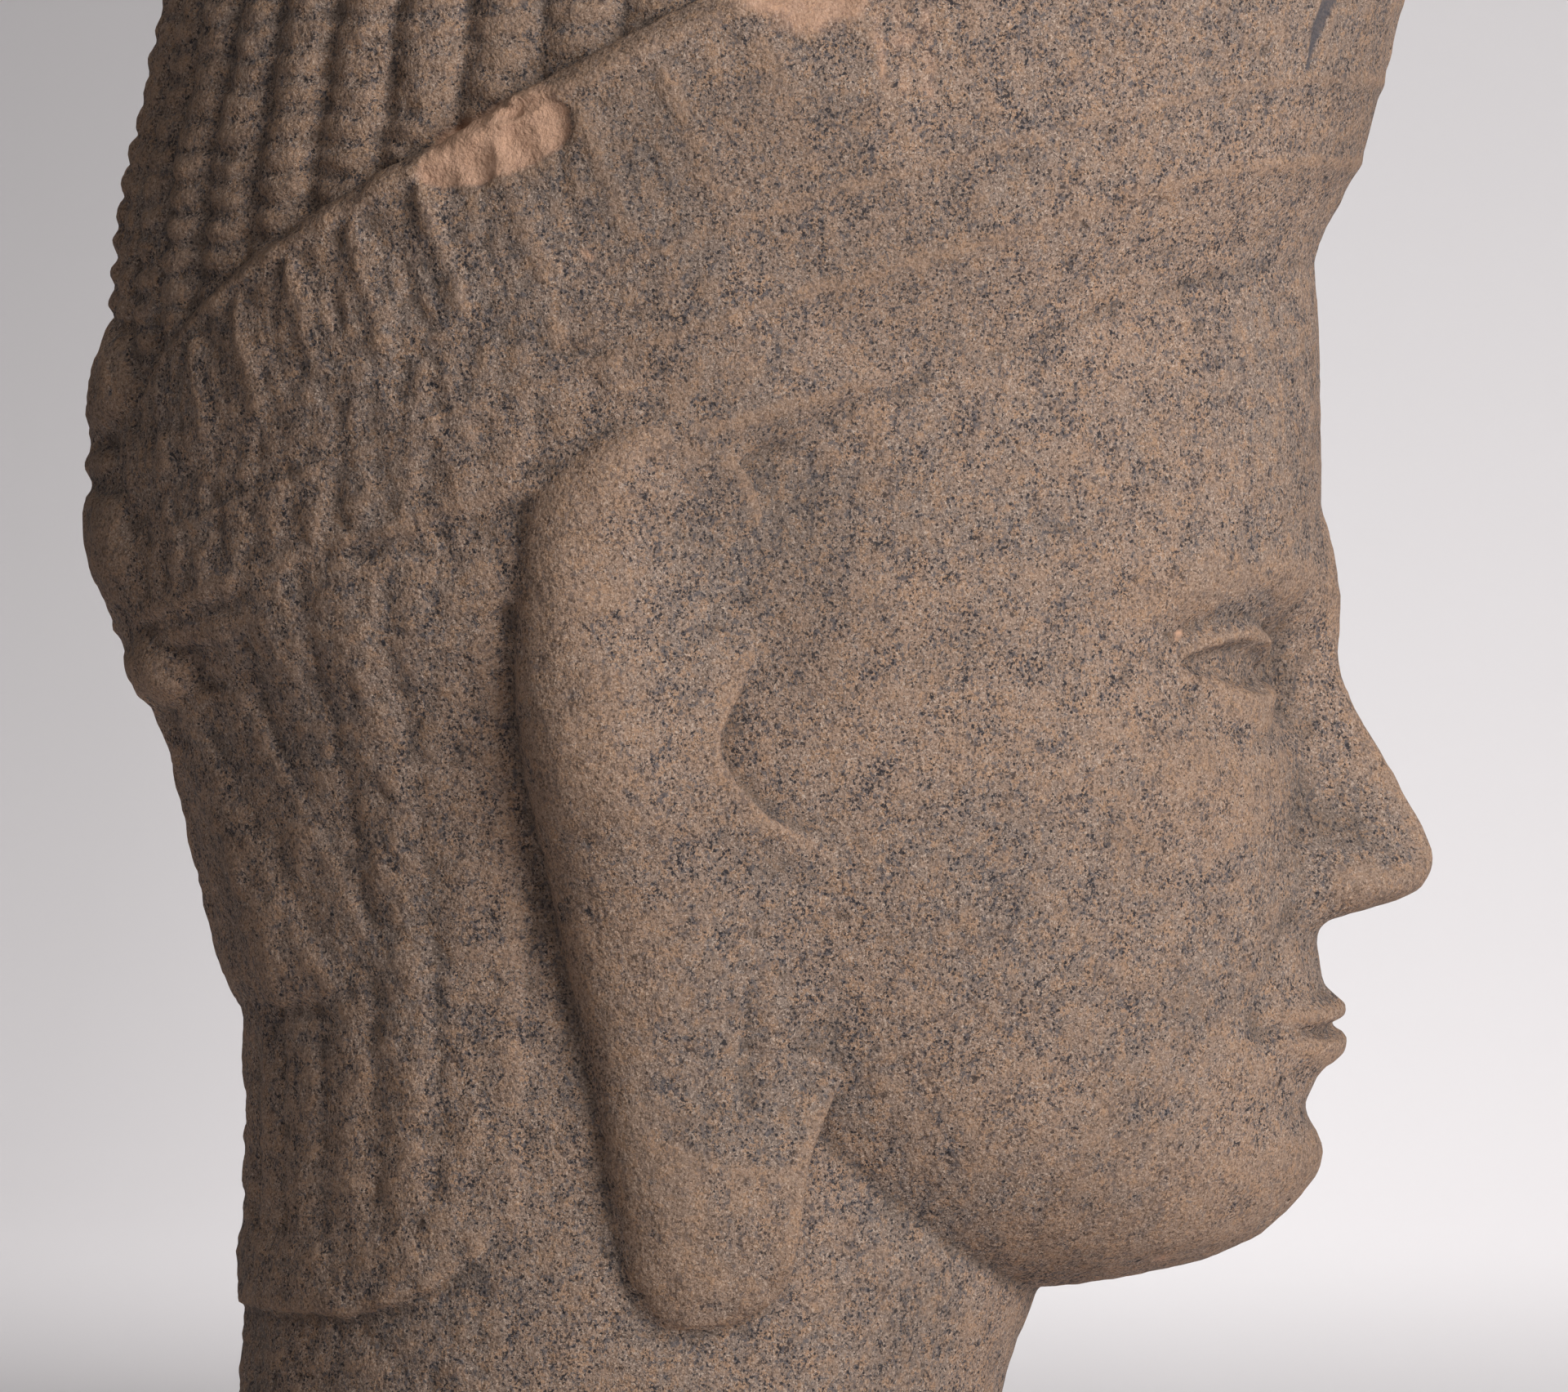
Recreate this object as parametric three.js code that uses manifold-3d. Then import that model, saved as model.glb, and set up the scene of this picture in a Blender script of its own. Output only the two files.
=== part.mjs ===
import * as THREE from 'three';
import { mergeVertices } from 'three/addons/utils/BufferGeometryUtils.js';
import Module from 'manifold-3d';

// A life-size head carved from one block of sandstone, in millimetres.
// Z is up, the face looks towards -Y and the head's right side is at -X.
// The origin is the middle of the flat cut under the neck.

// Heights above the cut
const crownHeight = 336;
const hairlineHeight = 226;
const chinHeight = 50;
const earTop = 197;
const earBottom = 37;
const napeHairBottom = 39;
const knotTop = 224;
const tailTop = 147;
const tailBottom = 97;

// Half widths, and reaches in front of and behind the neck's axis
const headHalfWidth = 74;
const foreheadReach = 127;
const skullReach = 78;
const neckHalfWidth = headHalfWidth - 13;
const neckReach = 70;
const hairHalfWidth = headHalfWidth + 4;
const hairReach = 92;

// Diadem
const bandFrontHeight = 300;
const bandSlope = 0.304;
const bandReach = 89;
const bandFlare = 19;
const bandRelief = 4.6;
const bandDepth = 26;
const leafCount = 46;
const leafRelief = 2.4;
const leafLean = 6;

// Hair
const plaitCount = 45;
const plaitDepth = 3.2;
const napePlaitCount = 13;
const napePlaitPitch = 13.9;
const napePlaitDepth = 2.6;
const napeFillet = 11;

// Angles round the head, from 0 at the front to the back
const fullTurn = 360;
const backAngle = 180;

// The face follows the rule of thirds, with five eye widths across it
const third = (hairlineHeight - chinHeight) / 3;
const noseBaseHeight = chinHeight + third;
const browHeight = chinHeight + 2 * third;
const eyeHeight = browHeight - 0.22 * third;
const mouthHeight = noseBaseHeight - third / 3;
const eyeWidth = headHalfWidth * 2 / 5;
const eyeOffset = eyeWidth * 1.04;
const mouthHalfWidth = eyeWidth * 0.86;
const noseReach = third * 0.4;

const wasm = await Module();
wasm.setup();

const radians = (turn) => turn * Math.PI / 180;
const degrees = (turn) => turn * 180 / Math.PI;

const clamp = (value) => Math.min(Math.max(value, 0), 1);

const ease = (from, to, value) => {
  const share = clamp((value - from) / (to - from));
  return share * share * (3 - 2 * share);
};

const hill = (distance, width) => Math.exp(-((distance / width) ** 2));

const mix = (from, to, share) => from + (to - from) * share;

// A smooth line through a few points [position, value], level beyond both ends.
function through(points) {
  const last = points.length - 1;
  const slope = (i) => {
    const before = points[Math.max(i - 1, 0)];
    const after = points[Math.min(i + 1, last)];
    return (after[1] - before[1]) / (after[0] - before[0]);
  };
  return (position) => {
    if (position <= points[0][0]) return points[0][1];
    if (position >= points[last][0]) return points[last][1];
    let i = 0;
    while (position > points[i + 1][0]) i++;
    const width = points[i + 1][0] - points[i][0];
    const t = (position - points[i][0]) / width;
    const start = (1 + 2 * t) * (1 - t) ** 2 * points[i][1];
    const end = t * t * (3 - 2 * t) * points[i + 1][1];
    const leaving = t * (1 - t) ** 2 * slope(i) * width;
    const arriving = t * t * (t - 1) * slope(i + 1) * width;
    return start + end + leaving + arriving;
  };
}

function solidOf(geometry) {
  geometry.deleteAttribute('normal');
  geometry.deleteAttribute('uv');
  const merged = mergeVertices(geometry, 1e-4);
  return new wasm.Manifold(new wasm.Mesh({
    numProp: 3,
    vertProperties: merged.attributes.position.array,
    triVerts: new Uint32Array(merged.index.array),
  }));
}

// A closed body of level rings, from a top point down to a bottom point.
function ringBody(angles, levels, surface, endPoint) {
  const columns = angles.length;
  const rows = levels.length - 1;
  const geometry = new THREE.SphereGeometry(1, columns, rows);
  const { position, uv } = geometry.attributes;
  for (let i = 0; i < position.count; i++) {
    const row = Math.round((1 - uv.getY(i)) * rows);
    const column = Math.round(uv.getX(i) * columns) % columns;
    const isEnd = row === 0 || row === rows;
    const point = isEnd ? endPoint(levels[row]) : surface(angles[column], levels[row]);
    position.setXYZ(i, ...point);
  }
  return solidOf(geometry);
}

// A closed hoop round the head: each section point [share, out] is carried round all the angles.
function hoopBody(angles, section, surface) {
  const geometry = new THREE.TorusGeometry(2, 1, section.length, angles.length);
  const { position, uv } = geometry.attributes;
  for (let i = 0; i < position.count; i++) {
    const column = Math.round(uv.getX(i) * angles.length) % angles.length;
    const station = Math.round(uv.getY(i) * section.length) % section.length;
    position.setXYZ(i, ...surface(angles[column], ...section[station]));
  }
  return solidOf(geometry);
}

// Angles run from the back (180) over the right side (90) and the front (0) to the left side (-90).
function mirrored(rightSide) {
  const leftSide = rightSide.filter((angle) => angle > 0 && angle < 180).map((angle) => -angle);
  return [...rightSide, ...leftSide.reverse()];
}

// Steps of equal size from one value towards another, without the last.
function steps(from, to, count) {
  return Array.from({ length: count }, (_, i) => mix(from, to, i / count));
}

// A point on a level oval with its widest place at y = middle.
function onOval(angle, height, oval, out = 0) {
  const along = Math.cos(radians(angle));
  const reach = along > 0 ? oval.front + oval.middle : oval.back - oval.middle;
  return [
    -(oval.half + out) * Math.sin(radians(angle)),
    oval.middle - (reach + out) * along,
    height,
  ];
}

// The skull and jaw without features, by share of the face's height above the chin
const frontLine = through([
  [-0.045, 0.66], [-0.028, 0.8], [0, 0.9], [0.04, 0.95], [0.1, 0.975],
  [0.5, 0.985], [0.6, 0.975], [0.7, 1.005], [0.8, 1.012], [1, 1.004], [1.12, 0.98],
]);
const backLine = through([
  [-0.045, -0.4], [0, -0.13], [0.08, 0.15], [0.22, 0.5], [0.4, 0.78], [0.6, 0.94], [0.8, 1.02], [1.12, 1],
]);
const sideLine = through([
  [-0.045, 0.28], [0, 0.5], [0.06, 0.64], [0.14, 0.75], [0.25, 0.84], [0.38, 0.92],
  [0.55, 0.985], [0.7, 1], [0.9, 1], [1.12, 0.94],
]);

function headOval(height) {
  const share = (height - chinHeight) / (hairlineHeight - chinHeight);
  const front = foreheadReach * frontLine(share);
  const back = skullReach * backLine(share);
  return { front, back, middle: mix(-front, back, 0.52), half: headHalfWidth * sideLine(share) };
}

const noseRidge = through([
  [-0.06, 0], [0, 0.12], [0.03, 0.4], [0.07, 0.76], [0.13, 0.95], [0.2, 1], [0.28, 0.95], [0.42, 0.76],
  [0.6, 0.53], [0.8, 0.37], [0.95, 0.29], [1.08, 0.19], [1.3, 0],
]);
const noseWidth = through([[0, 0.4], [0.18, 0.36], [0.45, 0.27], [0.75, 0.25], [1, 0.36]]);

// How far the features stand forward of the plain oval
function features(x, height) {
  const side = Math.abs(x);
  const fromEye = side - eyeOffset;
  const rise = height - eyeHeight - 0.06 * fromEye;
  const noseShare = (height - noseBaseHeight) / third;

  const browLine = browHeight + 3 - 0.006 * (side - eyeOffset) ** 2;
  const brow = 2.2 * hill(height - browLine, 6) * ease(62, 44, side) * ease(4, 14, side);
  const hollow = -6.5 * hill(fromEye + 1, 19) * hill(rise - 2, 12);
  const corners = -4 * hill(side - 13, 6) * hill(rise - 3, 10);

  const ball = Math.max(0, Math.sqrt(Math.max(0, 240 - 0.62 * fromEye ** 2 - rise ** 2)) - 9.5);
  const arch = Math.max(0, 1 - (fromEye / (eyeWidth / 2)) ** 2);
  const upper = 4.8 * arch ** 0.8;
  const lower = -3.6 * arch;
  const opening = -2.1 * ease(-0.6, 0.6, upper - rise) * ease(-0.6, 0.6, rise - lower) * ease(0, 0.12, arch);
  const lidEnds = ease(eyeWidth * 0.6, eyeWidth * 0.48, Math.abs(fromEye));
  const lids = lidEnds * (1.1 * hill(rise - upper - 1.3, 1.2) + 0.7 * hill(rise - lower + 1.2, 1.2));
  const crease = -1.7 * lidEnds * hill(rise - upper - 4.8, 1.4);

  const width = noseWidth(noseShare) * third / 2;
  const nose = noseReach * noseRidge(noseShare) * Math.exp(-((side / width) ** 2.6));
  const wingRise = height - noseBaseHeight - third * 0.12;
  const wings = noseReach * 0.42 * hill(side - third * 0.2, 5.2) * hill(wingRise, 6);

  const reach = side / mouthHalfWidth;
  const open = Math.max(0, 1 - reach * reach) ** 0.5;
  const above = height - mouthHeight - 0.9 * hill(side, 5) + 0.4 * hill(side - 12, 7);
  const muzzle = 5 * hill(side, 25) * hill(above - 1, 19);
  const upperLip = 3.8 * open * ease(0, 1.6, above) * hill(Math.max(0, above - 3.2 * open), 2.2);
  const lowerLip = 4 * open * ease(0, -1.8, above) * hill(Math.max(0, -above - 4.8 * open), 2.4);
  const line = -1.6 * ease(1.06, 0.85, reach) * hill(above, 1.5);
  const corner = -2 * hill(side - mouthHalfWidth - 1, 3.6) * hill(above, 4);

  const fold = -3 * hill(side, 19) * hill(above + third * 0.26, 5);
  const chin = 4.5 * hill(side, 17) * hill(height - chinHeight - third * 0.24, 11);
  const cheek = 2.8 * hill(side - 44, 15) * hill(height - noseBaseHeight - third * 0.36, 16);
  return brow + hollow + corners + ball + opening + lids + crease + nose + wings + muzzle
    + upperLip + lowerLip + line + corner + fold + chin + cheek;
}

function headPoint(angle, height) {
  const point = onOval(angle, height, headOval(height));
  const facing = ease(0.05, 0.4, Math.cos(radians(angle)));
  point[1] -= features(point[0], height) * facing;
  return point;
}

const headAngles = mirrored([
  ...steps(180, 60, 4), ...steps(60, 26, 5), ...steps(26, 0, 9), 0,
]);
const headLevels = [
  hairlineHeight + third * 0.45,
  ...steps(hairlineHeight + third * 0.3, browHeight + 8, 3),
  ...steps(browHeight + 8, eyeHeight + 8, 2),
  ...steps(eyeHeight + 8, eyeHeight - 8, 7),
  ...steps(eyeHeight - 8, noseBaseHeight + 14, 3),
  ...steps(noseBaseHeight + 14, noseBaseHeight - 2, 5),
  ...steps(noseBaseHeight - 2, mouthHeight + 6, 3),
  ...steps(mouthHeight + 6, mouthHeight - 10, 7),
  ...steps(mouthHeight - 10, chinHeight, 4),
  chinHeight,
  chinHeight - 4,
  chinHeight - 7,
  chinHeight - 9,
];
const head = ringBody(headAngles, headLevels, headPoint, (height) => [0, headOval(height).middle, height]);

// The neck, cut flat at the bottom
const neckFront = through([[0, 0.985], [22, 1], [chinHeight, 1.12], [2 * chinHeight, 1.1]]);
const neckBack = through([[0, 1.01], [22, 0.998], [chinHeight, 0.965], [3 * chinHeight, 0.96]]);
const neckSide = through([[0, 1.02], [chinHeight, 0.985], [3 * chinHeight, 1]]);

function neckOval(height) {
  return {
    front: neckReach * neckFront(height),
    back: neckReach * neckBack(height),
    middle: 0,
    half: neckHalfWidth * neckSide(height),
  };
}

const neck = ringBody(
  mirrored([...steps(180, 0, 13), 0]),
  [3 * chinHeight, 2.9 * chinHeight, 2 * chinHeight, chinHeight, 0.4 * chinHeight, 0, 0],
  (angle, height) => onOval(angle, height, neckOval(height)),
  (height) => [0, 0, height],
);

// The hair cap: upright plaits with grooves between, running up to a plain round crown
const capFront = through([[0.5, 0.8], [0.8, 1.2], [0.89, 1.13], [0.94, 0.96], [0.975, 0.7], [1, 0.3]]);
const capBack = through([
  [0.5, 0.9], [0.57, 0.975], [0.645, 1.02], [0.72, 1], [0.76, 0.967], [0.826, 0.913],
  [0.88, 0.82], [0.93, 0.67], [0.965, 0.5], [1, 0.24],
]);
const capSide = through([
  [0.5, 0.94], [0.65, 1], [0.78, 0.99], [0.84, 0.96], [0.9, 0.87], [0.945, 0.73], [1, 0.3],
]);

function capOval(height) {
  const share = height / crownHeight;
  return {
    front: hairReach * capFront(share),
    back: hairReach * capBack(share),
    middle: -20,
    half: hairHalfWidth * capSide(share),
  };
}

const plaitPitch = 360 / plaitCount;
const capAngles = Array.from({ length: plaitCount }, (_, i) => [0, 0.3, 0.7].map((share) => (
  180 - (i + share) * plaitPitch
))).flat();

function capPoint(angle, height) {
  const place = (180 - angle) / plaitPitch;
  const isGroove = Math.abs(place - Math.round(place)) < 0.05;
  const fade = ease(crownHeight, crownHeight * 0.93, height);
  return onOval(angle, height, capOval(height), isGroove ? -plaitDepth * fade : 0);
}

const cap = ringBody(
  capAngles,
  [1, 0.98, 0.945, 0.88, 0.78, 0.65, 0.5].map((share) => share * crownHeight),
  capPoint,
  (height) => [0, -10, height],
);

// The diadem: a flared band between a sloping lower edge and a rising upper edge
const bandMiddle = -20;

function bandPlace(angle) {
  const along = Math.cos(radians(angle));
  return bandMiddle - (along > 0 ? foreheadReach + bandMiddle : bandReach - bandMiddle) * along;
}

const bandTop = through([
  [-foreheadReach, 1], [-100, 0.988], [-60, 0.96], [-21, 0.912],
  [10, 0.862], [42, 0.803], [72, 0.735], [bandReach, 0.648],
]);

// How far a plain strip of cloth hangs below the diadem's lower edge
const stripDrop = through([[-30, 1.5], [0, 8], [20, 17], [40, 14], [70, 6.5], [bandReach, 2.5]]);

function bandHeight(angle, share) {
  const y = bandPlace(angle);
  const lower = hairlineHeight - bandSlope * (y + foreheadReach) + 4 * hill(y + 100, 25);
  return share < 0 ? lower + share * stripDrop(y) : mix(lower, bandFrontHeight * bandTop(y), share);
}

// In front the lower edge lies nearly flush with the forehead.
function bandPoint(angle, share, out) {
  const along = Math.cos(radians(angle));
  const front = ease(-0.1, 0.35, along);
  const rise = Math.max(share, 0);
  const oval = {
    front: foreheadReach + bandFlare * rise,
    back: bandReach,
    middle: bandMiddle,
    half: headHalfWidth + mix(3.5, 0.8, front) + mix(4, 6.5, front) * rise,
  };
  const inner = out * (1 + clamp(along) ** 2 * rise);
  const outer = out - 4.2 * front * ease(0.35, 0, share);
  return onOval(angle, bandHeight(angle, share), oval, out < 0 ? inner : outer);
}

const bandSection = [
  [-1, 0.1], [-0.9, 0.4 * bandRelief], [-0.1, 0.45 * bandRelief],
  [0.02, 0.7 * bandRelief], [0.06, 0.9 * bandRelief], [0.24, 0.9 * bandRelief], [0.275, 1.1 * bandRelief],
  [0.31, 0.9 * bandRelief], [0.378, 1.05 * bandRelief], [0.44, 0.9 * bandRelief], [0.48, 1.1 * bandRelief],
  [0.52, 0.8 * bandRelief], [0.9, 0.8 * bandRelief], [0.94, bandRelief], [1, 0.15 * bandRelief],
  [1, -bandDepth], [0, -bandDepth], [-1, -bandDepth],
];
const bandAngles = mirrored([...steps(180, 0, 23), 0]);
const band = hoopBody(bandAngles, bandSection, bandPoint);

// One leaf of the frieze: a pointed lozenge with a ridge, leaning square to the sloping band
function leafBody(angle) {
  const pitch = fullTurn / leafCount;
  const lean = leafLean * Math.sin(radians(angle));
  const geometry = new THREE.OctahedronGeometry(1);
  const { position } = geometry.attributes;
  for (let i = 0; i < position.count; i++) {
    const [across, up, out] = [position.getX(i), position.getY(i), position.getZ(i)];
    const share = 0.66 + (up > 0 ? 0.24 : 0.14) * up;
    const turned = angle - across * pitch * 0.44 + lean * (share - 0.5) / 0.4;
    const depth = bandRelief * 0.8 + (out > 0 ? leafRelief : 2) * out + (up > 0 ? 0.6 * up : 0);
    position.setXYZ(i, ...bandPoint(turned, share, Math.max(depth, 0)));
  }
  return solidOf(geometry);
}

const leafAngles = Array.from({ length: leafCount }, (_, i) => backAngle - (i + 0.5) * fullTurn / leafCount);
const leaves = leafAngles.filter((angle) => Math.abs(angle) > 48 && Math.abs(angle) < 164).map(leafBody);

// The ears: long slabs with a rounded rear edge, a notch in front and a hanging lobe
const earRear = through([
  [0, -9], [0.03, -3], [0.1, 0], [0.28, 4.5], [0.47, 10.5], [0.66, 16.5], [0.85, 17],
  [0.93, 14.5], [0.965, 10.5], [0.985, 5], [1, -5],
]);
const earFront = through([
  [0, -19], [0.04, -29], [0.1, -32.5], [0.19, -34.5], [0.28, -40], [0.4, -45], [0.5, -43], [0.54, -36],
  [0.57, -28], [0.61, -21.5], [0.655, -19], [0.7, -21.8], [0.75, -24.8], [0.8, -26.3], [0.88, -27],
  [0.94, -24], [0.97, -20], [0.988, -15.5], [1, -9],
]);

// How far the ear's face stands beyond the head's half width at its rear, as a share of that,
// its step above the cheek in front, its fall to the rear edge and the free front of its lobe
const earReach = through([
  [0, -0.135], [0.06, -0.068], [0.3, 0.027], [0.5, 0.108], [0.66, 0.162], [0.8, 0.189], [0.93, 0.189], [1, 0.176],
]);
const earStep = through([
  [0.2, 0], [0.32, -0.6], [0.5, -0.6], [0.54, 1.5], [0.57, 4], [0.62, 5.5], [0.66, 5], [0.71, 3], [0.76, 0.8],
  [0.82, 0], [0.88, 0.4], [0.92, 2.5], [0.96, 4.8], [1, 7],
]);
const earDrop = through([[0, 10], [0.1, 14], [0.4, 19], [0.6, 19], [1, 15]]);
const lobeFront = through([[0, -14], [0.1, -10], [0.19, -10.5], [0.28, -13], [0.4, -18]]);

// The head's half width at a place along Y
function headSide(y, height) {
  const oval = headOval(height);
  const reach = y < oval.middle ? oval.front + oval.middle : oval.back - oval.middle;
  return oval.half * Math.sqrt(Math.max(0.05, 1 - ((y - oval.middle) / reach) ** 2));
}

function earBody(side) {
  const surface = (angle, height) => {
    const share = (height - earBottom) / (earTop - earBottom);
    const towardRear = -Math.cos(radians(angle));
    const across = Math.sign(towardRear) * Math.abs(towardRear) ** 0.8;
    const width = (across + 1) / 2;
    const y = mix(earFront(share), earRear(share), width);
    const hanging = headHalfWidth + lobeFront(share);
    const edge = mix(hanging, headSide(earFront(share), height) + earStep(share), ease(0.17, 0.36, share));
    const dome = 5 * (1 - Math.sqrt(1 - clamp((share - 0.9) / 0.105) ** 2)) * width;
    const face = mix(edge, headHalfWidth * (1 + earReach(share)), width ** 1.15) - dome;
    const rounding = clamp((across + 0.05) / 1.05);
    const isOuter = Math.sin(radians(angle)) > 0;
    const depth = isOuter ? 1 - Math.sqrt(1 - rounding ** 2) : 1 - (1 - width) ** 3;
    return [-side * (face - earDrop(share) * depth - (isOuter ? 0 : 2)), y, height];
  };
  const rightSide = [168, 152, 134, 112, 90, 66, 40, 14, -30, -90, -150];
  const angles = side > 0 ? rightSide : rightSide.reverse();
  const shares = [
    1.006, 0.998, 0.985, 0.965, 0.93, 0.84, 0.75, 0.7, 0.655, 0.61, 0.57, 0.54, 0.5,
    0.4, 0.28, 0.19, 0.1, 0.03, -0.004,
  ];
  const levels = shares.map((share) => mix(earBottom, earTop, share));
  return ringBody(angles, levels, surface, (height) => {
    const share = clamp((height - earBottom) / (earTop - earBottom));
    return [-side * (headHalfWidth * (1 + earReach(share)) - 10), (earRear(share) + earFront(share)) / 2, height];
  });
}

// Hair hanging down the nape in plaits above a smooth raised hem
const napeBack = through([
  [napeHairBottom, 0.985], [48, 0.985], [54, 0.97], [tailBottom, 0.98], [120, 1.03],
  [tailTop, 1.14], [160, 1.23], [174, 1.26],
]);
const napeSide = through([
  [napeHairBottom, 1.01], [97, 1.02], [120, 1.06], [tailTop, 1.15], [160, 1.22], [174, 1.25],
]);

function napeOval(height) {
  return {
    front: 30,
    back: neckReach * napeBack(height),
    middle: 0,
    half: neckHalfWidth * napeSide(height),
  };
}

const napePlaitTurn = degrees(napePlaitPitch / neckReach);
const napeFilletTurn = degrees(napeFillet / neckReach);
const napeHalfSpan = napePlaitTurn * napePlaitCount / 2;
const napeEdge = backAngle - napeHalfSpan;
const napeAngles = [
  fullTurn - napeEdge + napeFilletTurn,
  fullTurn - napeEdge + napeFilletTurn / 2,
  ...Array.from({ length: napePlaitCount }, (_, i) => [0, 0.3, 0.7].map((share) => (
    fullTurn - napeEdge - (i + share) * napePlaitTurn
  ))).flat(),
  napeEdge,
  napeEdge - napeFilletTurn / 2,
  napeEdge - napeFilletTurn,
  napeEdge - napeFilletTurn - 2,
  60,
  0,
  -60,
  2 + napeFilletTurn - napeEdge,
];

function napePoint(angle, height) {
  const fromBack = Math.abs(backAngle - angle);
  const rise = 15 * clamp((fromBack - 45) / 27) ** 2 * ease(110, 50, height);
  const place = (fullTurn - napeEdge - angle) / napePlaitTurn;
  const isGroove = Math.abs(place - Math.round(place)) < 0.05;
  const isPanel = fromBack < napeHalfSpan + napeFilletTurn + 1;
  const edge = ease(napeHalfSpan, napeHalfSpan - 18, fromBack);
  const valley = 6 * ease(napeHalfSpan, napeHalfSpan + napeFilletTurn, fromBack);
  const groove = isGroove ? napePlaitDepth * ease(50, 54, height) * edge : 0;
  return onOval(angle, height + rise, napeOval(height), isPanel ? mix(-0.6, 1.4, edge) - valley - groove : -12);
}

const napeLevels = [174, 162, tailTop, 97, 72, 54, 50, 43, napeHairBottom, napeHairBottom - 0.5];
const nape = ringBody(napeAngles, napeLevels, napePoint, (height) => [0, 20, height]);

// The cloth tail of the tie: a flaring panel wrapped round the nape, with shallow folds
const tailOut = through([[0, 1.4], [0.1, 3.4], [0.4, 4.8], [1, 4.5]]);

function tailBody() {
  const geometry = new THREE.BoxGeometry(2, 2, 1, 10, 1, 5);
  const { position } = geometry.attributes;
  for (let i = 0; i < position.count; i++) {
    const across = position.getX(i);
    const isOuter = position.getY(i) > 0;
    const share = position.getZ(i) + 0.5;
    const height = mix(tailBottom, tailTop + 3, share) - 3 * (1 - share) * (1 - across ** 2);
    const angle = backAngle + across * mix(56, 36, share);
    const ridge = mix(0.8, 0.62, share);
    const folds = 1.9 * ease(ridge + 0.06, ridge - 0.03, Math.abs(across)) - 1.2;
    const edge = mix(1, 0.7, across ** 4);
    const out = isOuter ? tailOut(share) * edge + folds : -8;
    position.setXYZ(i, ...onOval(angle, height, napeOval(height), out));
  }
  return solidOf(geometry);
}

// The tie's knot by its share of height, up from the loose ends:
// its reach behind the neck's axis in neck reaches and its half width in neck half widths
const knotBottom = tailTop - 2;
const knotReach = through([
  [0, 1.143], [0.038, 1.221], [0.076, 1.264], [0.139, 1.294], [0.171, 1.289], [0.222, 1.303], [0.266, 1.34],
  [0.316, 1.364], [0.367, 1.39], [0.456, 1.4], [0.506, 1.4], [0.544, 1.38], [0.595, 1.399], [0.641, 1.383],
  [0.709, 1.4], [0.772, 1.399], [0.861, 1.371], [0.949, 1.329], [1, 1.257],
]);
const knotWidth = through([
  [0, 0.328], [0.051, 0.492], [0.114, 0.541], [0.177, 0.508], [0.215, 0.459], [0.278, 0.459], [0.405, 0.475],
  [0.494, 0.443], [0.544, 0.344], [0.595, 0.361], [0.646, 0.311], [0.734, 0.443], [0.848, 0.41], [0.949, 0.262],
  [1, 0.098],
]);
const knotMiddle = neckReach * 1.057;

function knotPoint(angle, height) {
  const share = (height - knotBottom) / (knotTop - knotBottom);
  const along = -Math.cos(radians(angle));
  const across = Math.sin(radians(angle));
  const cleft = 3.5 * hill(across, 0.22) * ease(0.645, 0.747, share);
  const reach = along > 0 ? neckReach * knotReach(share) - knotMiddle - cleft : neckReach * 0.286;
  return [
    -neckHalfWidth * knotWidth(share) * Math.sign(across) * Math.abs(across) ** 0.75,
    knotMiddle + Math.sign(along) * Math.abs(along) ** 0.55 * reach,
    height,
  ];
}

const knotAngles = mirrored([180, 166, 150, 125, 100, 45, 0]);
const knotLevels = [
  1, 0.962, 0.848, 0.734, 0.646, 0.595, 0.544, 0.494, 0.367, 0.266, 0.203, 0.139, 0.051, 0,
].map((share) => mix(knotBottom, knotTop, share));
const knot = ringBody(knotAngles, knotLevels, knotPoint, (height) => [0, knotMiddle, height]);

function lump(centre, radii) {
  const geometry = new THREE.SphereGeometry(1, 10, 6);
  geometry.scale(...radii);
  geometry.translate(...centre);
  return solidOf(geometry);
}

// Breaks along the diadem's upper edge
const chips = [
  lump([-87, 22, 254], [9, 14, 7]),
  lump([-88, -37, 275], [6.5, 17, 10]),
];

const parts = [head, neck, cap, band, ...leaves, earBody(1), earBody(-1), nape, tailBody(), knot];
let stone = parts.reduce((whole, next) => whole.add(next));
for (const chip of chips) stone = stone.subtract(chip);

const result = stone.getMesh();
const geometry = new THREE.BufferGeometry();
geometry.setAttribute('position', new THREE.BufferAttribute(result.vertProperties, 3));
geometry.setIndex(new THREE.BufferAttribute(result.triVerts, 1));
geometry.computeVertexNormals();

const sandstone = new THREE.MeshStandardMaterial({ color: 0x8a7361, roughness: 0.92, metalness: 0 });
const stoneHead = new THREE.Mesh(geometry, sandstone);
stoneHead.name = 'stone_head';

const group = new THREE.Group();
group.add(stoneHead);

export default group;
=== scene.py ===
import math

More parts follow.
